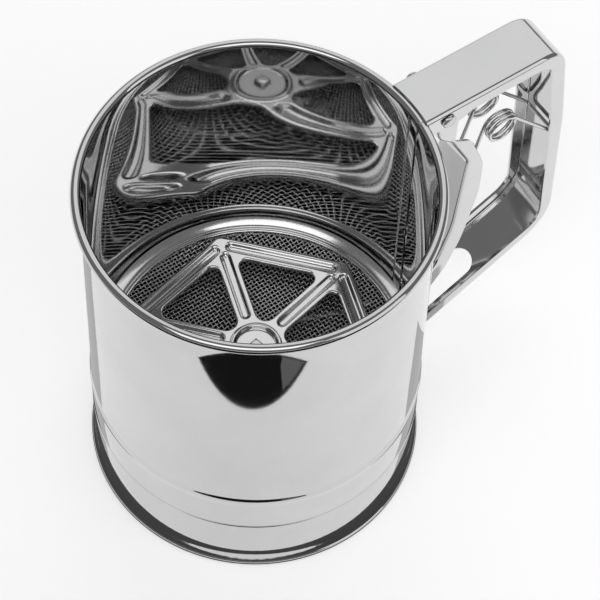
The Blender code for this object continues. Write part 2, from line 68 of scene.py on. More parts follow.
shell_low, shell_high = (np.array(corner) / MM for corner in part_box("body_shell"))
CUP_X = (shell_low[0] + shell_high[0]) / 2
CUP_HEIGHT = shell_high[2]
RIM_RADIUS = (shell_high[0] - shell_low[0]) / 2
SHEET = 0.5
RIM_CURL = 1.5
CUP_RADIUS = RIM_RADIUS - 2 * RIM_CURL + SHEET
SKIRT_RADIUS = CUP_RADIUS + 0.15
SEAM_ANGLE = math.radians(-7.6)
SEAM_LAP = 4.6

SCREEN_LOW, SCREEN_HIGH = (corner[2] for corner in span("screen_mesh"))
SCREEN_Z = (SCREEN_LOW + SCREEN_HIGH) / 2
STAR_TURN = math.radians(12.4)
STAR_Z = span("agitator_star")[1][2] - 0.15
PIVOT_X = (span("pivot_pin")[0][0] + span("pivot_pin")[1][0]) / 2
PIVOT_Z = (span("pivot_pin")[0][2] + span("pivot_pin")[1][2]) / 2
PIN_X = (span("crank_pin")[0][0] + span("crank_pin")[1][0]) / 2
PIN_Y = (span("crank_pin")[0][1] + span("crank_pin")[1][1]) / 2
LINK_Z = (span("link_collar")[0][2] + span("link_collar")[1][2]) / 2
LINK_Y = (span("link_collar")[0][1] + span("link_collar")[1][1]) / 2
VIEW_TURN = math.radians(-36.89)       # from the camera's own left-right axis to the handle


# ---------------------------------------------------------------- materials

def nodes_of(material):
    material.use_nodes = True
    tree = material.node_tree
    return tree, tree.nodes["Principled BSDF"]


def add_noise(tree, coordinates, scale, detail=4.0, stretch=(1, 1, 1)):
    mapping = tree.nodes.new("ShaderNodeMapping")
    mapping.inputs["Scale"].default_value = stretch
    tree.links.new(coordinates, mapping.inputs["Vector"])
    noise = tree.nodes.new("ShaderNodeTexNoise")
    noise.inputs["Scale"].default_value = scale
    noise.inputs["Detail"].default_value = detail
    tree.links.new(mapping.outputs["Vector"], noise.inputs["Vector"])
    return noise.outputs["Fac"]


def remap(tree, value, low, high, start=0.3, end=0.7):
    node = tree.nodes.new("ShaderNodeMapRange")
    node.inputs["From Min"].default_value = start
    node.inputs["From Max"].default_value = end
    node.inputs["To Min"].default_value = low
    node.inputs["To Max"].default_value = high
    tree.links.new(value, node.inputs["Value"])
    return node.outputs["Result"]


def steel(name, tone, rough, rough_spread, wave=0.0, wave_scale=60.0, grain=0.0, grain_scale=900.0,
          stretch=(1, 1, 1), tone_spread=0.02):
    """Stainless steel: cloudy polish, slow waviness of the sheet, and fine grain along `stretch`."""
    material = bpy.data.materials.new(name)
    tree, shader = nodes_of(material)
    where = tree.nodes.new("ShaderNodeTexCoord").outputs["Object"]
    clouds = add_noise(tree, where, 45.0)
    fine = add_noise(tree, where, grain_scale, 3.0, stretch)
    ramp = tree.nodes.new("ShaderNodeValToRGB")
    ramp.color_ramp.elements[0].position = 0.3
    ramp.color_ramp.elements[1].position = 0.7
    ramp.color_ramp.elements[0].color = (tone - tone_spread, tone - tone_spread, tone - tone_spread * 0.8, 1)
    ramp.color_ramp.elements[1].color = (tone + tone_spread, tone + tone_spread, tone + tone_spread * 1.1, 1)
    tree.links.new(clouds, ramp.inputs["Fac"])
    tree.links.new(ramp.outputs["Color"], shader.inputs["Base Color"])
    mix = tree.nodes.new("ShaderNodeMath")
    mix.operation = "ADD"
    tree.links.new(remap(tree, clouds, rough - rough_spread / 2, rough + rough_spread / 2), mix.inputs[0])
    tree.links.new(remap(tree, fine, 0.0, rough_spread / 2), mix.inputs[1])
    tree.links.new(mix.outputs["Value"], shader.inputs["Roughness"])
    shader.inputs["Metallic"].default_value = 1.0
    normal = None
    for strength, height, distance in ((wave, add_noise(tree, where, wave_scale, 1.0), 0.0004),
                                       (grain, fine, 0.00003)):
        if strength > 0:
            bump = tree.nodes.new("ShaderNodeBump")
            bump.inputs["Strength"].default_value = strength
            bump.inputs["Distance"].default_value = distance
            tree.links.new(height, bump.inputs["Height"])
            if normal:
                tree.links.new(normal, bump.inputs["Normal"])
            normal = bump.outputs["Normal"]
    if normal:
        tree.links.new(normal, shader.inputs["Normal"])
    return material


STEELS = {
    "polished_steel": steel("polished_steel", 0.62, 0.035, 0.02, wave=0.05, wave_scale=30.0, grain=0.04),
    "pressed_steel": steel("pressed_steel", 0.66, 0.12, 0.06, wave=0.10, wave_scale=90.0, grain=0.15),
    "star_steel": steel("star_steel", 0.66, 0.08, 0.04, wave=0.12, wave_scale=70.0, grain=0.08),
    "handle_steel": steel("handle_steel", 0.66, 0.08, 0.04, wave=0.04, wave_scale=40.0, grain=0.06),
    "trigger_steel": steel("trigger_steel", 0.66, 0.07, 0.04, wave=0.06, wave_scale=50.0, grain=0.06),
    "screen_wire": steel("screen_wire", 0.8, 0.25, 0.08, grain=0.2, grain_scale=1500.0, tone_spread=0.05),
    "wire_steel": steel("wire_steel", 0.62, 0.18, 0.06, grain=0.15, stretch=(0.1, 1, 1)),
    "spring_steel": steel("spring_steel", 0.64, 0.10, 0.05, grain=0.10),
    "hardware_steel": steel("hardware_steel", 0.62, 0.20, 0.08, wave=0.2, wave_scale=200.0, grain=0.25),
}


# ---------------------------------------------------------------- outlines

def arc(cx, cy, radius, start, end, steps):
    angles = np.radians(np.linspace(start, end, steps + 1))
    return [(cx + radius * math.cos(a), cy + radius * math.sin(a)) for a in angles]


def rounded(corners, closed, degrees=6.0):
    """A line through corners (x, y, radius), each rounded by an arc in steps of about `degrees`."""
    count = len(corners)
    points = []
    for i, (x, y, radius) in enumerate(corners):
        here = Vector((x, y))
        if radius == 0 or (not closed and i in (0, count - 1)):
            points.append((x, y))
            continue
        back = (Vector(corners[i - 1][:2]) - here).normalized()
        ahead = (Vector(corners[(i + 1) % count][:2]) - here).normalized()
        half = back.angle(ahead) / 2
        centre = here + (back + ahead).normalized() * (radius / math.sin(half))
        first = here + back * (radius / math.tan(half)) - centre
        last = here + ahead * (radius / math.tan(half)) - centre
        turn = first.angle_signed(last)
        steps = max(2, round(abs(math.degrees(turn)) / degrees))
        for k in range(steps + 1):
            spoke = first.copy()
            spoke.rotate(Matrix.Rotation(-turn * k / steps, 2))
            points.append(tuple(centre + spoke))
    return points


def moved_inward(points, distance):
    """An open line moved to its left by a distance, keeping its corners."""
    result = []
    for i, point in enumerate(points):
        normals = []
        for a, b in ((i - 1, i), (i, i + 1)):
            if 0 <= a and b < len(points):
                along = (Vector(points[b]) - Vector(points[a])).normalized()
                normals.append(Vector((-along.y, along.x)))
        mean = (normals[0] + normals[-1]).normalized()
        result.append(tuple(Vector(point) + mean * (distance / mean.dot(normals[0]))))
    return result


# ---------------------------------------------------------------- mesh tools

def piece(name, verts, faces, body, slot, *replaced, sharp=38.0):
    """A finished piece: its mesh in metres, its steel, the body it rides on and the node it stands for."""
    points = np.asarray(verts, dtype=float) + np.array([CUP_X, 0, 0])
    data = bpy.data.meshes.new(name)
    data.from_pydata((points * MM).tolist(), [], faces)
    data.validate()
    return finish_piece(name, data, body, slot, *replaced, sharp=sharp)


def finish_piece(name, data, body, slot, *replaced, sharp=38.0):
    data.shade_smooth()
    data.set_sharp_from_angle(angle=math.radians(sharp))
    data.materials.clear()
    data.materials.append(STEELS[slot])
    thing = bpy.data.objects.new(name, data)
    bpy.context.scene.collection.objects.link(thing)
    if body:
        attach(thing, body)
    if replaced:
        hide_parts(*replaced)
    return thing


def spun(profile, angles, move=None):
    """Vertices of a closed (radius, z) outline at each angle; `move(angle, r, z)` may shift each point."""
    profile = np.array(profile)
    verts = []
    for angle in angles:
        r, z = profile[:, 0], profile[:, 1]
        if move:
            r, z = move(angle, r.copy(), z.copy())
        verts.append(np.stack([r * math.cos(angle), r * math.sin(angle), z], 1))
    return np.concatenate(verts)


def ring_faces(columns, rows, skip=()):
    """Quads of a grid that closes on itself both ways; skip holds (column, row) pairs left open."""
    return [(c * rows + r, ((c + 1) % columns) * rows + r,
             ((c + 1) % columns) * rows + (r + 1) % rows, c * rows + (r + 1) % rows)
            for c in range(columns) for r in range(rows) if (c, r) not in skip]


def turned_piece(name, profile, body, slot, *replaced, segments=96, centre=(0, 0), sharp=38.0):
    """A washer-like piece: a closed outline, counter-clockwise, spun round a vertical axis."""
    angles = np.linspace(0, 2 * math.pi, segments, endpoint=False)
    verts = spun(profile, angles) + np.array([centre[0], centre[1], 0])
    return piece(name, verts, ring_faces(segments, len(profile)), body, slot, *replaced, sharp=sharp)


def soft_ring(inner, outer, low, high, ease=0.15):
    """The section of a washer with eased edges, counter-clockwise."""
    return rounded([(inner, low, ease), (outer, low, ease), (outer, high, ease), (inner, high, ease)],
                   closed=True, degrees=22.5)


def tube(path, radius, sides=16):
    """Rings of vertices along a path, turned as little as possible from one to the next."""
    path = [Vector(p) for p in path]
    radii = radius if hasattr(radius, "__len__") else [radius] * len(path)
    side, verts = None, []
    for i, point in enumerate(path):
        along = (path[min(i + 1, len(path) - 1)] - path[max(i - 1, 0)]).normalized()
        if side is None:
            side = along.orthogonal().normalized()
        side = (side - along * side.dot(along)).normalized()
        across = along.cross(side)
        for k in range(sides):
            turn = 2 * math.pi * k / sides
            verts.append(point + (side * math.cos(turn) + across * math.sin(turn)) * radii[i])
    count = len(path)
    faces = [(r * sides + k, r * sides + (k + 1) % sides, (r + 1) * sides + (k + 1) % sides,
              (r + 1) * sides + k)
             for r in range(count - 1) for k in range(sides)]
    faces += [tuple(range(sides - 1, -1, -1)), tuple(range((count - 1) * sides, count * sides))]
    return [tuple(v) for v in verts], faces


def smooth_path(points, step):
    """A curve through points, sampled about every `step` millimetres."""
    points = [Vector(p) for p in points]
    padded = [2 * points[0] - points[1]] + points + [2 * points[-1] - points[-2]]
    result = []
    for a, b, c, d in zip(padded, padded[1:], padded[2:], padded[3:]):
        count = max(1, round((c - b).length / step))
        for k in range(count):
            t = k / count
            result.append(0.5 * (2 * b + (c - a) * t + (2 * a - 5 * b + 4 * c - d) * t ** 2
                                 + (3 * b - a - 3 * c + d) * t ** 3))
    return result + [points[-1]]


# ---------------------------------------------------------------- cup

WALL_SLOT_HALF_WIDTH, WALL_SLOT_HALF_HEIGHT = 2.4, 1.6
GROOVE_Z = 23.6


def wall_section():
    """The wall's section, counter-clockwise: up the outside, back round the rim's curl, down the inside."""
    skirt = [(49.7, 0.0), (50.5, 0.0)]
    skirt += arc(50.05, 1.15, 1.15, -55, 62, 8)
    flare = [(2.35, 50.80), (2.9, 50.66), (3.6, 50.52), (4.4, 50.38), (5.2, 50.26), (6.0, 50.18),
             (7.0, SKIRT_RADIUS)]
    skirt += [(radius, z) for z, radius in flare]
    groove = [(-0.9, 0.0), (-0.5, -0.02), (-0.25, -0.16), (0.0, -0.24), (0.25, -0.16), (0.5, -0.02),
              (0.9, 0.0)]
    outside = [(SKIRT_RADIUS + dr, GROOVE_Z + dz) for dz, dr in groove]
    slot_rows = [(SKIRT_RADIUS, LINK_Z - WALL_SLOT_HALF_HEIGHT),
                 (SKIRT_RADIUS, LINK_Z + WALL_SLOT_HALF_HEIGHT)]
    ridge = [(36.0, 0.15), (36.8, 0.18), (37.6, 0.26), (38.3, 0.38), (38.9, 0.45), (39.4, 0.45), (39.75, 0.40),
             (40.1, 0.30), (40.5, 0.185), (40.9, 0.075), (41.2, 0.01), (41.6, 0.0)]
    outside += slot_rows + [(CUP_RADIUS + dr, z) for z, dr in ridge]
    outside += [(CUP_RADIUS, z) for z in (60.0, 90.0, 118.0)]
    curl_x, curl_z = CUP_RADIUS - SHEET + RIM_CURL, CUP_HEIGHT - RIM_CURL
    rim = arc(curl_x, curl_z, RIM_CURL - SHEET, 180, -120, 14)
    rim += arc(curl_x, curl_z, RIM_CURL, -120, 180, 26)
    inside = [(CUP_RADIUS - SHEET, z) for z in (118.0, 90.0, 60.0, 42.0)]
    low = SKIRT_RADIUS - SHEET
    inside += [(low, 38.5), (low, LINK_Z + WALL_SLOT_HALF_HEIGHT), (low, LINK_Z - WALL_SLOT_HALF_HEIGHT)]
    inside += [(low + dr * 0.6, GROOVE_Z + dz) for dz, dr in groove[::-1]]
    inside += [(low, 7.0), (low, 3.2), (49.35, 2.3), (49.0, 1.5), (49.05, 0.7), (49.3, 0.2)]
    return skirt + outside + rim + inside


def near_seam(angle):
    """Distance along the wall from the seam, in millimetres, positive anticlockwise."""
    return (angle - SEAM_ANGLE) * CUP_RADIUS


def seam_shape(angle, r, z):
    """The sheet's overlap inside the wall, and the butt joint across the rim's curl."""
    along = near_seam(angle)
    inside = (r < CUP_RADIUS - SHEET / 2) & (z > 8) & (z < CUP_HEIGHT - RIM_CURL)
    if 0 <= along <= SEAM_LAP:
        rise = min(1.0, along / 0.15) * min(1.0, (SEAM_LAP - along) / 0.8)
        r[inside] -= 0.42 * rise
    curl = z > CUP_HEIGHT - 2 * RIM_CURL
    if abs(along) < 0.13:
        curl_x, curl_z = CUP_RADIUS - SHEET + RIM_CURL, CUP_HEIGHT - RIM_CURL
        reach = np.hypot(r - curl_x, z - curl_z)
        outer = curl & (reach > RIM_CURL - 0.1)
        pull = 0.32 * (1 - abs(along) / 0.13)
        r[outer] -= (r[outer] - curl_x) / reach[outer] * pull
        z[outer] -= (z[outer] - curl_z) / reach[outer] * pull
    return r, z


def make_cup():
    section = wall_section()
    slot_angle = math.asin(WALL_SLOT_HALF_WIDTH / SKIRT_RADIUS)
    seam = [SEAM_ANGLE + along / CUP_RADIUS for along in
            (-0.4, -0.12, 0.0, 0.06, 0.12, 0.16, 0.4, 1.0, 2.3, SEAM_LAP - 0.8, SEAM_LAP - 0.4, SEAM_LAP,
             SEAM_LAP + 0.3)]
    plain = [a for a in np.linspace(-math.pi, math.pi, 288, endpoint=False)
             if all(abs(a - s) > 0.006 for s in seam + [slot_angle, -slot_angle])]
    angles = sorted(plain + seam + [slot_angle, -slot_angle])
    rows, columns = len(section), len(angles)
    verts = spun(section, angles, seam_shape)
    heights = np.array(section)[:, 1]
    low, high = LINK_Z - WALL_SLOT_HALF_HEIGHT, LINK_Z + WALL_SLOT_HALF_HEIGHT
    open_rows = [r for r in range(rows) if {round(heights[r], 4), round(heights[(r + 1) % rows], 4)}
                 == {round(low, 4), round(high, 4)}]
    open_columns = [c for c in range(columns) if -slot_angle - 1e-9 <= angles[c] < slot_angle - 1e-9]
    skip = {(c, r) for c in open_columns for r in open_rows}
    faces = ring_faces(columns, rows, skip)
    outer_row, inner_row = open_rows
    for c in open_columns:
        for outer, inner in ((outer_row, inner_row + 1), (outer_row + 1, inner_row)):
            quad = (c * rows + outer, (c + 1) * rows + outer, (c + 1) * rows + inner, c * rows + inner)
            faces.append(quad if outer == outer_row else quad[::-1])
    for c, flip in ((open_columns[0], False), (open_columns[-1] + 1, True)):
        quad = (c * rows + outer_row, c * rows + inner_row + 1, c * rows + inner_row, c * rows + outer_row + 1)
        faces.append(quad[::-1] if flip else quad)
    piece("cup_wall", verts, faces, "root", "polished_steel", "body_shell", sharp=30.0)


def make_rings():
    ring_low, ring_high = span("screen_ring_upper")
    band_low, band_high = span("screen_ring_lower")
    inner, outer = 44.5, ring_high[0]
    base, lip = ring_low[2], ring_high[2]
    upper = [(46.9, base + 0.02), (47.3, base + 0.25), (outer - 0.12, lip - 0.75), (outer, lip - 0.5),
             (outer, lip - 0.15), (outer - 0.15, lip - 0.02), (outer - 0.4, lip - 0.12), (46.95, base + 0.78),
             (46.6, base + 0.5), (46.1, base + 0.46), (45.6, base + 0.58), (45.1, base + 0.66),
             (44.75, base + 0.62), (44.5, base + 0.44), (44.45, base + 0.2), (44.6, base + 0.02)]
    turned_piece("clamp_ring", upper, "root", "pressed_steel", "screen_ring_upper", segments=240)
    top, low = band_high[2], band_low[2]
    sheet = 0.5
    band = rounded([(inner, top - sheet, 0.2), (outer - sheet, top - sheet, 0.4), (outer - sheet, low, 0.15),
                    (outer, low, 0.15), (outer, top, 0.8), (inner, top, 0.2)], closed=True, degrees=22.5)
    low_z, high_z = LINK_Z - WALL_SLOT_HALF_HEIGHT, LINK_Z + WALL_SLOT_HALF_HEIGHT
    slotted = []
    for i, (r, z) in enumerate(band):
        slotted.append((r, z))
        next_z = band[(i + 1) % len(band)][1]
        crossing = [level for level in (low_z, high_z) if min(z, next_z) < level < max(z, next_z)]
        for level in sorted(crossing, reverse=next_z < z):
            slotted.append((r, level))
    slot_angle = math.asin(WALL_SLOT_HALF_WIDTH / outer)
    plain = [a for a in np.linspace(-math.pi, math.pi, 160, endpoint=False)
             if abs(abs(a) - slot_angle) > 0.01]
    angles = sorted(plain + [slot_angle, -slot_angle])
    rows, columns = len(slotted), len(angles)
    heights = [round(z, 4) for r, z in slotted]
    levels = {round(low_z, 4), round(high_z, 4)}
    open_rows = [r for r in range(rows) if {heights[r], heights[(r + 1) % rows]} == levels]
    open_columns = [c for c in range(columns) if -slot_angle - 1e-9 <= angles[c] < slot_angle - 1e-9]
    faces = ring_faces(columns, rows, {(c, r) for c in open_columns for r in open_rows})
    first, second = open_rows
    for c in open_columns:
        here, there = c * rows, (c + 1) * rows
        faces.append((here + first, there + first, there + second + 1, here + second + 1))
        faces.append((here + first + 1, here + second, there + second, there + first + 1))
    for c, flip in ((open_columns[0], False), (open_columns[-1] + 1, True)):
        quad = (c * rows + first, c * rows + second + 1, c * rows + second, c * rows + first + 1)
        faces.append(quad[::-1] if flip else quad)
    thing = piece("clamp_band", spun(slotted, angles), faces, "root", "pressed_steel", "screen_ring_lower")
    fix_normals(thing)


def fix_normals(thing):
    mesh = bmesh.new()
    mesh.from_mesh(thing.data)
    bmesh.ops.recalc_face_normals(mesh, faces=mesh.faces)
    mesh.to_mesh(thing.data)
    mesh.free()


# ---------------------------------------------------------------- woven screen

WIRE_RADIUS, WEAVE_PITCH, WEAVE_TURN = 0.165, 1.25, math.radians(-1.4)
WEAVE_REACH, WEAVE_HOLE = 46.8, 3.2


def make_screen():
    """A plain weave: each wire goes over one crossing wire and under the next."""
    sides, per_pitch = 5, 4
    rng = np.random.default_rng(4)
    verts, faces = [], []
    lines = np.arange(-37, 37)
    for family in (0, 1):
        for line in lines:
            offset = (line + 0.5) * WEAVE_PITCH
            reach = math.sqrt(WEAVE_REACH ** 2 - offset ** 2)
            runs = [(-reach, reach)]
            if abs(offset) < WEAVE_HOLE:
                hole = math.sqrt(WEAVE_HOLE ** 2 - offset ** 2)
                runs = [(-reach, -hole), (hole, reach)]
            drift = rng.normal(0, 0.05)
            wander = rng.uniform(0, 2 * math.pi)
            for start, end in runs:
                count = int((end - start) / WEAVE_PITCH * per_pitch) + 2
                along = np.linspace(start, end, count)
                phase = math.pi * (along / WEAVE_PITCH - 0.5 + line + family)
                rise = WIRE_RADIUS * 1.02 * np.cos(phase)
                side = offset + drift * np.sin(along / 17.0 + wander)
                turn = 2 * math.pi * np.arange(sides) / sides
                across = side[:, None] + WIRE_RADIUS * np.cos(turn)[None, :]
                height = SCREEN_Z + rise[:, None] + WIRE_RADIUS * np.sin(turn)[None, :]
                ahead = np.repeat(along[:, None], sides, 1)
                grid = np.stack([ahead, across, height] if family == 0 else [-across, ahead, height], -1)
                base = sum(len(v) for v in verts)
                verts.append(grid.reshape(-1, 3))
                row = base + np.arange(count - 1)[:, None] * sides
                k = np.arange(sides)[None, :]
                quads = np.stack([row + k, row + sides + k, row + sides + (k + 1) % sides,
                                  row + (k + 1) % sides], -1).reshape(-1, 4)
                faces += quads.tolist()
                faces.append(tuple(base + np.arange(sides)))
                faces.append(tuple(base + (count - 1) * sides + np.arange(sides)[::-1]))
    points = np.concatenate(verts)
    c, s = math.cos(WEAVE_TURN), math.sin(WEAVE_TURN)
    points[:, :2] = points[:, :2] @ np.array([[c, s], [-s, c]])
    piece("woven_screen", points, faces, "root", "screen_wire", "screen_mesh", sharp=80.0)


# ---------------------------------------------------------------- star

STAR_APOTHEM, BAR_WIDTH, SPOKE_WIDTH, STAR_SHEET = 36.0, 6.6, 6.2, 0.55
STAR_HOLE, STAR_CORNER = 1.95, 3.0
WINDOW_HUB_CORNER, WINDOW_CORNER = 3.2, 2.3


def outline_distance(x, y, outline):
    """Signed distance to a closed outline, positive inside."""
    points = np.stack([x, y], -1)
    best = np.full(x.shape, 1e9)
    inside = np.zeros(x.shape, bool)
    for i in range(len(outline)):
        a, b = np.array(outline[i - 1]), np.array(outline[i])
        edge = b - a
        t = np.clip(((points - a) @ edge) / (edge @ edge), 0, 1)
        best = np.minimum(best, np.linalg.norm(points - a - t[..., None] * edge, axis=-1))
        if a[1] != b[1]:
            crosses = ((a[1] > y) != (b[1] > y)) & (x < (b[0] - a[0]) * (y - a[1]) / (b[1] - a[1]) + a[0])
            inside ^= crosses
    return np.where(inside, best, -best)


def step_down(value, start, end):
    """1 before start, 0 after end, smooth between."""
    t = np.clip((value - start) / (end - start), 0, 1)
    return 1 - t * t * (3 - 2 * t)


def roll_off(distance, radius):
    """How far a rounded edge has dropped at a distance in from it."""
    t = np.clip(1 - distance / radius, 0, 1)
    return radius * (1 - np.sqrt(1 - t ** 2))


def star_fields(x, y):
    """At points of the plan: distance into the metal, height of the upper face, and thickness."""
    reach = np.hypot(x, y)
    angle = np.arctan2(y, x) - STAR_TURN
    sector = (angle + math.pi / 6) % (math.pi / 3) - math.pi / 6
    spoke_u, spoke_v = reach * np.cos(sector), reach * np.sin(sector)
    beside = math.pi / 6 - np.abs(sector)
    window_u, window_v = reach * np.cos(beside), reach * np.sin(beside)
    corner = STAR_APOTHEM / math.cos(math.pi / 6)
    hexagon = rounded([(corner * math.cos(math.pi / 3 * k), corner * math.sin(math.pi / 3 * k), STAR_CORNER)
                       for k in range(6)], closed=True, degrees=4.0)
    half = SPOKE_WIDTH / 2
    chord = STAR_APOTHEM - BAR_WIDTH
    near = half / math.sin(math.pi / 6)
    far = (chord - near) * math.tan(math.pi / 6)
    window = rounded([(near, 0, WINDOW_HUB_CORNER), (chord, -far, WINDOW_CORNER), (chord, far, WINDOW_CORNER)],
                     closed=True, degrees=4.0)
    to_edge = outline_distance(spoke_u, spoke_v, hexagon)
    to_window = -outline_distance(window_u, window_v, window)
    to_hole = reach - STAR_HOLE
    metal = np.minimum(np.minimum(to_edge, to_window), to_hole)
    spoke_line = np.hypot(np.clip(np.abs(spoke_u - 22.3) - 10.8, 0, None), spoke_v)
    chord_line = np.hypot(window_u - (STAR_APOTHEM - BAR_WIDTH / 2 - 0.1), np.clip(window_v - 15.8, 0, None))
    groove = 1.0 * step_down(np.minimum(spoke_line, chord_line), 0.5, 1.9)
    dish = 0.75 * step_down(reach, 5.7, 7.2)
    lip = 0.3 * (step_down(reach, 7.1, 8.2) - step_down(reach, 6.2, 7.1))
    height = STAR_Z - roll_off(to_edge, 1.25) - roll_off(to_window, 0.55) - groove - dish + lip
    thickness = STAR_SHEET + 1.8 * step_down(to_edge, 0.05, 0.7)
    return metal, height, thickness


def make_star():
    step = 0.32
    ticks = np.arange(-41, 41 + step, step)
    gx, gy = np.meshgrid(ticks, ticks, indexing="ij")
    metal = star_fields(gx, gy)[0]
    metal = np.where(np.abs(metal) < 0.02, 0.02, metal)
    inside = metal > 0
    index, plan = {}, []

    def corner(i, j):
        key = (i, j)
        if key not in index:
            index[key] = len(plan)
            plan.append((gx[i, j], gy[i, j]))
        return index[key]

    def crossing(a, b):
        key = (min(a, b), max(a, b))
        if key not in index:
            t = metal[a] / (metal[a] - metal[b])
            index[key] = len(plan)
            plan.append((gx[a] + t * (gx[b] - gx[a]), gy[a] + t * (gy[b] - gy[a])))
        return index[key]

    tops, rims = [], []
    cells = inside[:-1, :-1] | inside[1:, :-1] | inside[1:, 1:] | inside[:-1, 1:]
    for i, j in zip(*np.nonzero(cells)):
        loop = [(i, j), (i + 1, j), (i + 1, j + 1), (i, j + 1)]
        ring, cuts = [], []
        for k in range(4):
            a, b = loop[k], loop[(k + 1) % 4]
            if inside[a]:
                ring.append(corner(*a))
            if inside[a] != inside[b]:
                cut = crossing(a, b)
                ring.append(cut)
                cuts.append((cut, bool(inside[a])))
        if len(ring) >= 3:
            tops.append(tuple(ring))
            for k, (cut, leaving) in enumerate(cuts):
                if leaving:
                    rims.append((cut, cuts[(k + 1) % len(cuts)][0]))
    plan = np.array(plan)
    _, height, thickness = star_fields(plan[:, 0], plan[:, 1])
    count = len(plan)
    verts = np.concatenate([np.column_stack([plan, height]), np.column_stack([plan, height - thickness])])
    faces = tops + [tuple(v + count for v in face[::-1]) for face in tops]
    faces += [(b, a, a + count, b + count) for a, b in rims]
    piece("stamped_star", verts, faces, "agitator", "star_steel", "agitator_star", sharp=50.0)


# ---------------------------------------------------------------- axle, crank and link

def stacked(sections, body, name, slot, *replaced, sharp=35.0):
    """A closed body through horizontal rings of points, capped at both ends."""
    count = len(sections[0])
    verts = [point for section in sections for point in section]
    faces = [(r * count + k, r * count + (k + 1) % count, (r + 1) * count + (k + 1) % count,
              (r + 1) * count + k)
             for r in range(len(sections) - 1) for k in range(count)]
    faces += [tuple(range(count - 1, -1, -1)), tuple(range((len(sections) - 1) * count, len(sections) * count))]
    return piece(name, verts, faces, body, slot, *replaced, sharp=sharp)


def level_ring(radius, z, squareness=0.0, half_side=1.7, centre=(0, 0), count=64):
    """Points round a circle, or round a rounded square as squareness goes to 1."""
    ring = []
    for k in range(count):
        angle = 2 * math.pi * k / count + STAR_TURN
        c, s = math.cos(angle - STAR_TURN), math.sin(angle - STAR_TURN)
        square = half_side / (abs(c) ** 8 + abs(s) ** 8) ** 0.125
        reach = radius * (1 - squareness) + square * squareness
        ring.append((centre[0] + reach * math.cos(angle), centre[1] + reach * math.sin(angle), z))
    return ring


def round_pin(name, levels, body, slot, *replaced, centre=(0, 0)):
    """A pin from its (radius, z) levels, bottom to top."""
    stacked([level_ring(radius, z, centre=centre) for radius, z in levels], body, name, slot, *replaced)


def make_axle_stack():
    low, high = span("axle")
    foot, top = low[2], high[2]
    dish = STAR_Z - 0.75
    sections = [level_ring(r, z) for r, z in (
        (2.2, foot), (2.8, foot + 0.2), (3.0, foot + 0.5), (3.0, foot + 0.95), (2.0, foot + 1.0),
        (2.0, dish - 1.2), (1.8, dish - 0.8))]
    sections += [level_ring(1.8, dish + 0.05, 1.0), level_ring(1.8, top - 0.45, 1.0)]
    sections += [level_ring(1.5, top - 0.15, 1.0, 1.5), level_ring(1.2, top, 1.0, 1.1)]
    stacked(sections, "agitator", "square_axle", "hardware_steel", "axle")
    for node, name, body in (("axle_spacer", "axle_collar", "agitator"),
                             ("eyelet_washer", "under_washer", "root"),
                             ("axle_washer", "thrust_washer", "agitator")):
        low, high = span(node)
        bore = 3.3 if node == "eyelet_washer" else 2.3
        turned_piece(name, soft_ring(bore, high[0], low[2], high[2]), body, "hardware_steel", node,
                     segments=64)
    low, high = span("screen_eyelet")
    flange, lip = low[2] + 0.4, high[2] - 0.4
    eyelet = rounded([(2.3, low[2], 0.2), (4.6, low[2], 0.2), (4.6, flange, 0.15), (3.0, flange, 0.2),
                      (3.0, lip, 0.2), (6.0, lip, 0.15), (6.0, high[2], 0.25), (2.3, high[2], 0.4)],
                     closed=True, degrees=22.5)
    turned_piece("screen_bush", eyelet, "root", "hardware_steel", "screen_eyelet", segments=64)
    low, high = span("crank_pin_washer")
    turned_piece("pin_washer", soft_ring(1.8, 3.4, low[2], high[2]), "agitator", "hardware_steel",
                 "crank_pin_washer", segments=48, centre=(PIN_X, PIN_Y))
    low, high = span("crank_pin")
    arm_top = span("crank_arm")[1][2]
    round_pin("peened_crank_pin", [
        (1.8, low[2]), (2.4, low[2] + 0.25), (2.6, low[2] + 0.6), (2.6, low[2] + 0.98), (1.5, low[2] + 1.0),
        (1.5, arm_top + 0.28), (2.6, arm_top + 0.3), (2.6, high[2] - 0.35), (2.3, high[2] - 0.1),
        (1.8, high[2])], "agitator", "hardware_steel", "crank_pin", centre=(PIN_X, PIN_Y))


def prism(outline, low, high, upright=False):
    """A bmesh of an outline with thickness: flat in plan, or standing in the handle's plane."""
    mesh = bmesh.new()

    def place(a, b, h):
        return (a + CUP_X, h, b) if upright else (a + CUP_X, b, h)

    count = len(outline)
    first = [mesh.verts.new(place(a, b, low)) for a, b in outline]
    second = [mesh.verts.new(place(a, b, high)) for a, b in outline]
    mesh.faces.new(first)
    mesh.faces.new(second[::-1])
    for i in range(count):
        mesh.faces.new((first[i - 1], second[i - 1], second[i], first[i]))
    bmesh.ops.recalc_face_normals(mesh, faces=mesh.faces)
    return mesh


def scratch_object(mesh, name):
    bmesh.ops.scale(mesh, verts=mesh.verts, vec=(MM, MM, MM))
    data = bpy.data.meshes.new(name)
    mesh.to_mesh(data)
    mesh.free()
    thing = bpy.data.objects.new(name, data)
    bpy.context.scene.collection.objects.link(thing)
    return thing


def cut(thing, cutters):
    """The mesh of an object less its cutters, all of which are then removed."""
    for cutter in cutters:
        modifier = thing.modifiers.new("cut", "BOOLEAN")
        modifier.operation = "DIFFERENCE"
        modifier.solver = "EXACT"
        modifier.object = cutter
    bpy.context.view_layer.update()
    graph = bpy.context.evaluated_depsgraph_get()
    data = bpy.data.meshes.new_from_object(thing.evaluated_get(graph))
    for used in [thing] + cutters:
        bpy.data.objects.remove(used)
    mesh = bmesh.new()
    mesh.from_mesh(data)
    bmesh.ops.remove_doubles(mesh, verts=mesh.verts, dist=1e-7)
    bmesh.ops.dissolve_degenerate(mesh, edges=mesh.edges, dist=1e-7)
    mesh.to_mesh(data)
    mesh.free()
    return data


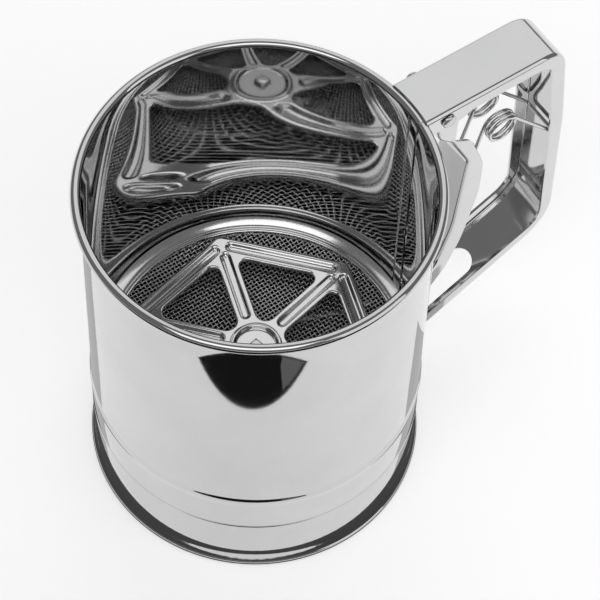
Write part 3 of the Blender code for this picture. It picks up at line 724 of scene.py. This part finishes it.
def flat_shading_weights(thing):
    """Keeps broad flat faces flat beside their rounded edges."""
    modifier = thing.modifiers.new("broad_faces", "WEIGHTED_NORMAL")
    modifier.weight = 100
    modifier.keep_sharp = True


def bar(radius, x, z, low, high, sides=48):
    mesh = prism(arc(x, z, radius, 0, 360 * (1 - 1 / sides), sides - 1), low, high, upright=True)
    return scratch_object(mesh, "bar_cutter")


def make_crank_and_link():
    low, high = span("crank_arm")
    turn = math.atan2(PIN_Y, PIN_X)
    reach = math.hypot(PIN_X, PIN_Y)
    outline = arc(reach, 0, 3.5, -90, 90, 20) + arc(0, 0, 3.5, 90, 270, 20)
    c, s = math.cos(turn), math.sin(turn)
    outline = [(x * c - y * s, x * s + y * c) for x, y in outline]
    mesh = prism(outline, low[2], high[2])
    edges = [edge for edge in mesh.edges if abs(edge.verts[0].co.z - edge.verts[1].co.z) < 0.001]
    bmesh.ops.bevel(mesh, geom=edges, offset=0.2, segments=2, affect="EDGES")
    arm = scratch_object(mesh, "arm")
    holes = []
    for x, y, radius in ((0, 0, 2.05), (PIN_X, PIN_Y, 1.6)):
        hole = prism(arc(x, y, radius, 0, 352.5, 47), low[2] - 1, high[2] + 1)
        holes.append(scratch_object(hole, "hole"))
    thing = finish_piece("pressed_crank", cut(arm, holes), "agitator", "pressed_steel", "crank_arm")
    flat_shading_weights(thing)

    eye = soft_ring(1.8, 4.0, LINK_Z - 1.1, LINK_Z + 1.1, 0.5)
    turned_piece("link_eye", eye, "link", "wire_steel", segments=64, centre=(PIN_X, PIN_Y))
    collar_low, collar_high = span("link_collar")
    head_x = span("link_rod")[1][0]
    bend = [(PIN_X + 3.0, PIN_Y - 0.75, LINK_Z), (14.0, 8.0, LINK_Z), (26.0, 4.1, LINK_Z),
            (33.0, 1.2, LINK_Z), (37.5, LINK_Y + 0.25, LINK_Z), (42.0, LINK_Y, LINK_Z),
            (head_x - 1.2, LINK_Y, LINK_Z)]
    path = smooth_path(bend, 1.2)
    path += [Vector((head_x - 0.95, LINK_Y, LINK_Z)), Vector((head_x - 0.9, LINK_Y, LINK_Z)),
             Vector((head_x - 0.35, LINK_Y, LINK_Z)), Vector((head_x - 0.1, LINK_Y, LINK_Z)),
             Vector((head_x, LINK_Y, LINK_Z))]
    radii = [1.05] * (len(path) - 4) + [2.9, 3.05, 2.7, 1.9]
    verts, faces = tube(path, radii, 32)
    piece("link_wire", verts, faces, "link", "wire_steel", "link_rod")
    ring = np.array(soft_ring(1.25, 3.2, collar_low[0], collar_high[0], 0.2))
    angles = np.linspace(0, 2 * math.pi, 48, endpoint=False)
    verts = np.concatenate([np.stack([ring[:, 1], LINK_Y + ring[:, 0] * math.cos(a),
                                      LINK_Z + ring[:, 0] * math.sin(a)], 1) for a in angles])
    thing = piece("push_on_collar", verts, ring_faces(48, len(ring)), "link", "hardware_steel", "link_collar")
    fix_normals(thing)


# ---------------------------------------------------------------- handle and trigger

HANDLE_HALF, HANDLE_SHEET = span("handle_channel")[1][1], 0.9
TRIGGER_HALF, TRIGGER_SHEET = span("trigger_channel")[1][1], 0.8
HANDLE_BEND, TRIGGER_BEND = 1.5, 1.4
PIVOT_BORE, EAR_RADIUS, LINK_HOLE_RADIUS = 1.25, 2.4, 2.5


def folded_channel(name, line, edge, half, sheet, bend, body, slot, node, cutters):
    """A U-channel: a web along a line in the handle's plane, round bends, and flanges out to an edge."""
    inner_bend, ease = max(0.3, bend - sheet), 0.12
    turns = np.radians(np.linspace(0, 90, 7))
    outer = [(bend * (1 - math.sin(a)), half - bend * (1 - math.cos(a))) for a in turns]
    inner = [(bend - inner_bend * math.sin(a), half - bend + inner_bend * math.cos(a)) for a in turns]
    eased = moved_inward(edge, ease)
    mesh = bmesh.new()

    def rows(profile):
        full = profile + [(depth, -y) for depth, y in profile[::-1]]
        lines = [(moved_inward(line, -depth), y) for depth, y in full]
        return [[mesh.verts.new((path[i][0], y, path[i][1])) for path, y in lines] for i in range(len(line))]

    outside, inside = rows(outer), rows(inner)
    last = len(outside[0]) - 1
    for here, there in zip(range(len(line) - 1), range(1, len(line))):
        for k in range(last):
            for loops in (outside, inside):
                mesh.faces.new((loops[here][k], loops[there][k], loops[there][k + 1], loops[here][k + 1]))
    for end in (0, -1):
        for k in range(last):
            mesh.faces.new((outside[end][k], outside[end][k + 1], inside[end][k + 1], inside[end][k]))
    for side, k in ((1, 0), (-1, last)):
        levels = ((eased, half), (edge, half - ease), (edge, half - sheet + ease), (eased, half - sheet))
        free = [[mesh.verts.new((x, side * y, z)) for x, z in path] for path, y in levels]
        mesh.faces.new([loop[k] for loop in outside] + free[0][::-1])
        mesh.faces.new([loop[k] for loop in inside] + free[3][::-1])
        for low, high in zip(free, free[1:]):
            for i in range(len(edge) - 1):
                mesh.faces.new((low[i], low[i + 1], high[i + 1], high[i]))
        for end in (0, -1):
            mesh.faces.new([outside[end][k]] + [row[end] for row in free] + [inside[end][k]])
    bmesh.ops.translate(mesh, verts=mesh.verts, vec=(CUP_X, 0, 0))
    bmesh.ops.triangulate(mesh, faces=[face for face in mesh.faces if len(face.verts) > 4])
    bmesh.ops.recalc_face_normals(mesh, faces=mesh.faces)
    data = cut(scratch_object(mesh, name + "_sheet"), cutters)
    thing = finish_piece(name, data, body, slot, node, sharp=32.0)
    flat_shading_weights(thing)


def cup_cutter():
    gap = 0.12
    wall = SKIRT_RADIUS + gap
    curl_x, curl_z = CUP_RADIUS - SHEET + RIM_CURL, CUP_HEIGHT - RIM_CURL
    profile = [(0, -5), (wall, -5), (wall, curl_z - RIM_CURL - gap)]
    profile += arc(curl_x, curl_z, RIM_CURL + gap, -75, 60, 12) + [(curl_x + 0.9, 140), (0, 140)]
    mesh = bmesh.new()
    verts = [mesh.verts.new((r, 0, z)) for r, z in profile]
    edges = [mesh.edges.new(pair) for pair in zip(verts, verts[1:])]
    bmesh.ops.spin(mesh, geom=verts + edges, cent=(0, 0, 0), axis=(0, 0, 1), dvec=(0, 0, 0),
                   angle=2 * math.pi, steps=192, use_merge=True, use_duplicate=False)
    bmesh.ops.remove_doubles(mesh, verts=mesh.verts, dist=1e-4)
    bmesh.ops.recalc_face_normals(mesh, faces=mesh.faces)
    bmesh.ops.translate(mesh, verts=mesh.verts, vec=(CUP_X, 0, 0))
    return scratch_object(mesh, "cup_cutter")


def handle_outer():
    """The outside of the handle's web: plan distance, height and corner radius, from the top to the base."""
    return rounded([(46.0, 130.97, 0), (100.9, 130.4, 10.0), (104.6, 94.0, 80.0), (106.2, 38.8, 17.0),
                    (46.0, 9.2, 0)], closed=False, degrees=4.0)


def handle_flange_edge():
    """The free edge of the handle's flanges, in the same order as its outside."""
    return rounded([(46.0, 123.6, 0), (64.0, 123.8, 4.0), (67.0, 125.6, 4.0), (95.8, 125.6, 5.0),
                    (99.6, 89.0, 60.0), (101.4, 41.5, 8.0), (46.0, 15.6, 0)], closed=False, degrees=5.0)


def slot_cutter():
    (x0, z0), (x1, z1) = handle_outer()[-1], handle_outer()[-2]
    slope = math.atan2(z1 - z0, x1 - x0)
    half, start, end = 4.75, 57.0, 82.0
    length = (end - start) / math.cos(slope) - 2 * half
    outline = arc(length, 0, half, -90, 90, 24) + arc(0, 0, half, 90, 270, 24)
    mesh = prism(outline, -3, 3)
    begin = start + half * math.cos(slope)
    bmesh.ops.translate(mesh, verts=mesh.verts, vec=(-CUP_X, 0, 0))
    bmesh.ops.rotate(mesh, verts=mesh.verts, cent=(0, 0, 0), matrix=Matrix.Rotation(-slope, 3, "Y"))
    bmesh.ops.translate(mesh, verts=mesh.verts, vec=(begin + CUP_X, 0, z0 + (begin - x0) * math.tan(slope)))
    return scratch_object(mesh, "slot_cutter")


def make_handle():
    outer, edge = handle_outer(), handle_flange_edge()
    cutters = [cup_cutter(), slot_cutter(), bar(PIVOT_BORE, PIVOT_X, PIVOT_Z, -12, 12)]
    folded_channel("bent_handle", outer, edge, HANDLE_HALF, HANDLE_SHEET, HANDLE_BEND, "root", "handle_steel",
                   "handle_channel", cutters)
    reach = span("pivot_pin")[1][1]
    levels = [(0.9, -reach), (1.7, -reach + 0.12), (2.15, -reach + 0.4), (2.3, -reach + 0.7),
              (2.3, -reach + 0.97), (1.1, -reach + 1.0)]
    levels += [(radius, -y) for radius, y in levels[::-1]]
    sections = [[(PIVOT_X + r * math.cos(a), y, PIVOT_Z + r * math.sin(a)) for a in
                 np.linspace(0, 2 * math.pi, 40, endpoint=False)] for r, y in levels]
    thing = stacked(sections, "root", "pivot_rivet", "hardware_steel", "pivot_pin")
    fix_normals(thing)


def make_trigger():
    foot = 55.1
    web = rounded([(foot, 29.0, 0), (foot, 39.0, 6.0), (62.6, 48.6, 14.0), (66.7, 62.0, 40.0),
                   (69.6, 95.6, 8.0), (62.4, 111.0, 6.0), (57.6, 115.6, 5.0), (56.4, 121.5, 0)],
                  closed=False, degrees=5.0)
    free = rounded([(59.8, 29.0, 0), (60.2, 35.5, 4.0), (65.4, 42.4, 10.0), (70.4, 54.4, 40.0),
                    (75.2, 76.0, 30.0), (75.6, 91.0, 22.0), (69.6, 107.4, 7.0), (63.3, 111.4, 2.0),
                    (63.7, 122.6, 0)], closed=False, degrees=5.0)
    free += arc(PIVOT_X, PIVOT_Z, EAR_RADIUS, 20, 180, 16) + [(58.0, 121.9)]
    hole = prism(arc(0, 0, LINK_HOLE_RADIUS, 0, 352.5, 47), -2.5, 2.5)
    bmesh.ops.translate(hole, verts=hole.verts, vec=(-CUP_X, 0, 0))
    bmesh.ops.rotate(hole, verts=hole.verts, cent=(0, 0, 0), matrix=Matrix.Rotation(math.pi / 2, 3, "Y"))
    bmesh.ops.translate(hole, verts=hole.verts, vec=(CUP_X + foot + 0.4, 0, LINK_Z))
    cutters = [bar(PIVOT_BORE, PIVOT_X, PIVOT_Z, -12, 12), scratch_object(hole, "link_hole")]
    folded_channel("squeeze_trigger", web, free, TRIGGER_HALF, TRIGGER_SHEET, TRIGGER_BEND, "trigger",
                   "trigger_steel", "trigger_channel", cutters)


# ---------------------------------------------------------------- spring

COIL_X, COIL_Z, COIL_RADIUS, COIL_PITCH = 82.7, 101.6, 4.85, 1.53
SPRING_WIRE, SPRING_REAR_Y = 0.6, 6.6


def spring_side():
    """Half the spring, from the middle of its bridge to the end of its front leg."""
    rear, front = math.radians(40.0), math.radians(165.7)
    start = Vector((COIL_X + COIL_RADIUS * math.cos(rear), SPRING_REAR_Y,
                    COIL_Z + COIL_RADIUS * math.sin(rear)))
    down = Vector((math.sin(rear), 0, -math.cos(rear)))
    reach, bend = 25.6, 2.2
    corner = start + down * reach
    points = [Vector((corner.x, y, corner.z)) for y in np.linspace(0, SPRING_REAR_Y - bend, 4)]
    for k in range(1, 8):
        turn = math.pi / 2 * k / 8
        inward = Vector((0, -bend + bend * math.sin(turn), 0))
        points.append(corner + inward - down * bend * (1 - math.cos(turn)))
    points += [start + down * along for along in (reach - bend, reach * 0.6, reach * 0.3, 2.0)]
    sweep = front - rear + 4 * math.pi
    steps = 120
    for i in range(steps + 1):
        angle = rear + sweep * i / steps
        drift = COIL_PITCH * sweep / (2 * math.pi) * i / steps
        points.append(Vector((COIL_X + COIL_RADIUS * math.cos(angle), SPRING_REAR_Y - drift,
                              COIL_Z + COIL_RADIUS * math.sin(angle))))
    leg = Vector((-math.sin(front), 0, math.cos(front)))
    last = points[-1]
    points += [last + leg * along for along in (3.0, 10.0, 18.0, 26.0, 33.0, 34.3, 34.5)]
    return points


def make_spring():
    side = spring_side()
    path = [Vector((p.x, -p.y, p.z)) for p in side[:0:-1]] + side
    radii = [SPRING_WIRE] * len(path)
    radii[0] = radii[-1] = SPRING_WIRE * 0.6
    verts, faces = tube(path, radii, 20)
    spring = piece("torsion_spring", verts, faces, None, "spring_steel", "return_spring")
    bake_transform(spring)


# ---------------------------------------------------------------- stage

def aim(thing, place, target):
    thing.location = place
    thing.rotation_euler = (Vector(place) - Vector(target)).to_track_quat("Z", "Y").to_euler()


def view_frame(x, y, z):
    """A point given along the camera's left-right axis, away from the camera and up, about the cup's axis."""
    c, s = math.cos(VIEW_TURN), math.sin(VIEW_TURN)
    return Vector((CUP_X * MM + c * x - s * y, s * x + c * y, z))


def make_camera():
    elevation, roll, distance = math.radians(58.04), math.radians(2.76), 0.80685
    back = Vector((0, -math.cos(elevation), math.sin(elevation)))
    right = Vector((1, 0, 0))
    up = back.cross(right)
    tilted_right = right * math.cos(roll) + up * math.sin(roll)
    tilted_up = up * math.cos(roll) - right * math.sin(roll)
    turn = Matrix.Rotation(VIEW_TURN, 3, "Z")
    axes = Matrix([turn @ tilted_right, turn @ tilted_up, turn @ back]).transposed()
    target = view_frame(0.01257, 0, 0.07289)
    data = bpy.data.cameras.new("camera")
    data.lens = 164.85
    data.sensor_width = 36.0
    data.clip_start = 0.05
    camera = bpy.data.objects.new("camera", data)
    camera.matrix_world = Matrix.Translation(target + turn @ back * distance) @ axes.to_4x4()
    bpy.context.scene.collection.objects.link(camera)
    bpy.context.scene.camera = camera


def card(name, place, target, width, height, strength, tone=(1, 1, 1)):
    """A glowing or dark panel outside the picture, which shows only in reflections."""
    data = bpy.data.meshes.new(name)
    w, h = width / 2, height / 2
    data.from_pydata([(-w, -h, 0), (w, -h, 0), (w, h, 0), (-w, h, 0)], [], [(0, 1, 2, 3)])
    panel = bpy.data.objects.new(name, data)
    aim(panel, place, target)
    material = bpy.data.materials.new(name)
    material.use_nodes = True
    tree = material.node_tree
    tree.nodes.clear()
    glow = tree.nodes.new("ShaderNodeEmission")
    glow.inputs["Color"].default_value = (*tone, 1)
    glow.inputs["Strength"].default_value = strength
    output = tree.nodes.new("ShaderNodeOutputMaterial")
    tree.links.new(glow.outputs["Emission"], output.inputs["Surface"])
    data.materials.append(material)
    panel.visible_camera = False
    panel.visible_shadow = False
    bpy.context.scene.collection.objects.link(panel)
    return panel


def floor_patch(name, outline, strength, lift=0.0):
    """A darker patch over the floor that shows only in reflections; the side and shadow patches are painted
    shade. The outline is in metres in view_frame.
    """
    patch = card(name, (0, 0, 0), (0, 0, -1), 1, 1, strength)
    patch.matrix_world = Matrix.Identity(4)
    patch.data.clear_geometry()
    corners = [view_frame(x, y, -0.00012 + lift * MM) for x, y in outline]
    patch.data.from_pydata(corners, [], [tuple(range(len(corners)))])
    patch.visible_diffuse = False


def make_floor():
    data = bpy.data.meshes.new("floor")
    half = 3.0
    data.from_pydata([(-half, -half, 0), (half, -half, 0), (half, half, 0), (-half, half, 0)], [],
                     [(0, 1, 2, 3)])
    floor = bpy.data.objects.new("floor", data)
    floor.location = (0, 0, -0.0002)
    material = bpy.data.materials.new("pale_paper")
    tree, shader = nodes_of(material)
    where = tree.nodes.new("ShaderNodeTexCoord").outputs["Object"]
    tone = remap(tree, add_noise(tree, where, 250.0), 0.90, 0.92)
    tree.links.new(tone, shader.inputs["Base Color"])
    shader.inputs["Roughness"].default_value = 0.9
    shader.inputs["Specular IOR Level"].default_value = 0.0
    shader.inputs["Emission Color"].default_value = (1, 1, 1, 1)
    shader.inputs["Emission Strength"].default_value = 0.5
    data.materials.append(material)
    bpy.context.scene.collection.objects.link(floor)


def make_painted_shade_disc():
    """A dark disc on the floor inside the cup's foot, painted shade under the cup, so that the screen's
    openings look dark.
    """
    under = bpy.data.meshes.new("shade_disc_under_cup")
    ring = [tuple(p) for p in np.array(level_ring(SKIRT_RADIUS - 0.45, -0.1)) * MM]
    under.from_pydata(ring, [], [tuple(range(len(ring)))])
    disc = bpy.data.objects.new("shade_disc_under_cup", under)
    disc.location = (CUP_X * MM, 0, 0)
    shade = bpy.data.materials.new("painted_shade_under_cup")
    tree, shader = nodes_of(shade)
    where = tree.nodes.new("ShaderNodeTexCoord").outputs["Object"]
    # Painted shade: a near-black colour standing in for the shade under the cup.
    tone = remap(tree, add_noise(tree, where, 250.0), 0.02, 0.03)
    tree.links.new(tone, shader.inputs["Base Color"])
    shader.inputs["Roughness"].default_value = 0.9
    under.materials.append(shade)
    bpy.context.scene.collection.objects.link(disc)


def make_light():
    bpy.context.scene.view_settings.view_transform = "Standard"
    world = bpy.data.worlds.new("studio")
    bpy.context.scene.world = world
    world.use_nodes = True
    background = world.node_tree.nodes["Background"]
    background.inputs["Color"].default_value = (1, 1, 1, 1)
    background.inputs["Strength"].default_value = 0.18
    middle = view_frame(0, 0, 0.07)
    card("front_softbox", view_frame(-0.1, -0.75, 1.2), middle, 1.2, 0.8, 1.6)
    card("back_card", view_frame(0.12, 0.8, 0.75), middle, 1.15, 1.3, 0.92)
    card("right_softbox", view_frame(0.85, -0.5, 0.5), middle, 0.7, 1.0, 1.0)
    floor_patch("dark_floor", [(-0.8, -0.8), (0.8, -0.8), (0.8, -0.104), (-0.8, -0.104)], 0.01)
    floor_patch("grey_floor", [(0.03, -0.8), (0.055, -0.8), (0.055, -0.106), (0.03, -0.106)], 0.14, lift=0.05)
    # Painted shade: the left and right patches stand for the floor's soft shade beside the cup, seen only in
    # reflections.
    floor_patch("left_floor_shade", [(-0.0495, -0.022), (-0.101, 0.045), (-0.115, 0.25), (-0.05, 0.25)], 0.5,
                lift=-0.04)
    floor_patch("right_floor_shade", [(0.0495, -0.022), (0.085, 0.026), (0.062, 0.034), (0.05, 0.02)], 0.5,
                lift=-0.04)
    shadow = 0.0546
    floor_patch("shadow_floor", [(shadow * math.cos(a), shadow * math.sin(a)) for a in
                                 np.linspace(0, 2 * math.pi, 96, endpoint=False)], 0.07)


make_camera()
make_cup()
make_rings()
make_screen()
make_star()
make_axle_stack()
make_crank_and_link()
make_handle()
make_trigger()
make_spring()
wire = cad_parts["rim_wire"]
wire.data.materials.clear()
wire.data.materials.append(STEELS["wire_steel"])
make_floor()
make_painted_shade_disc()
make_light()
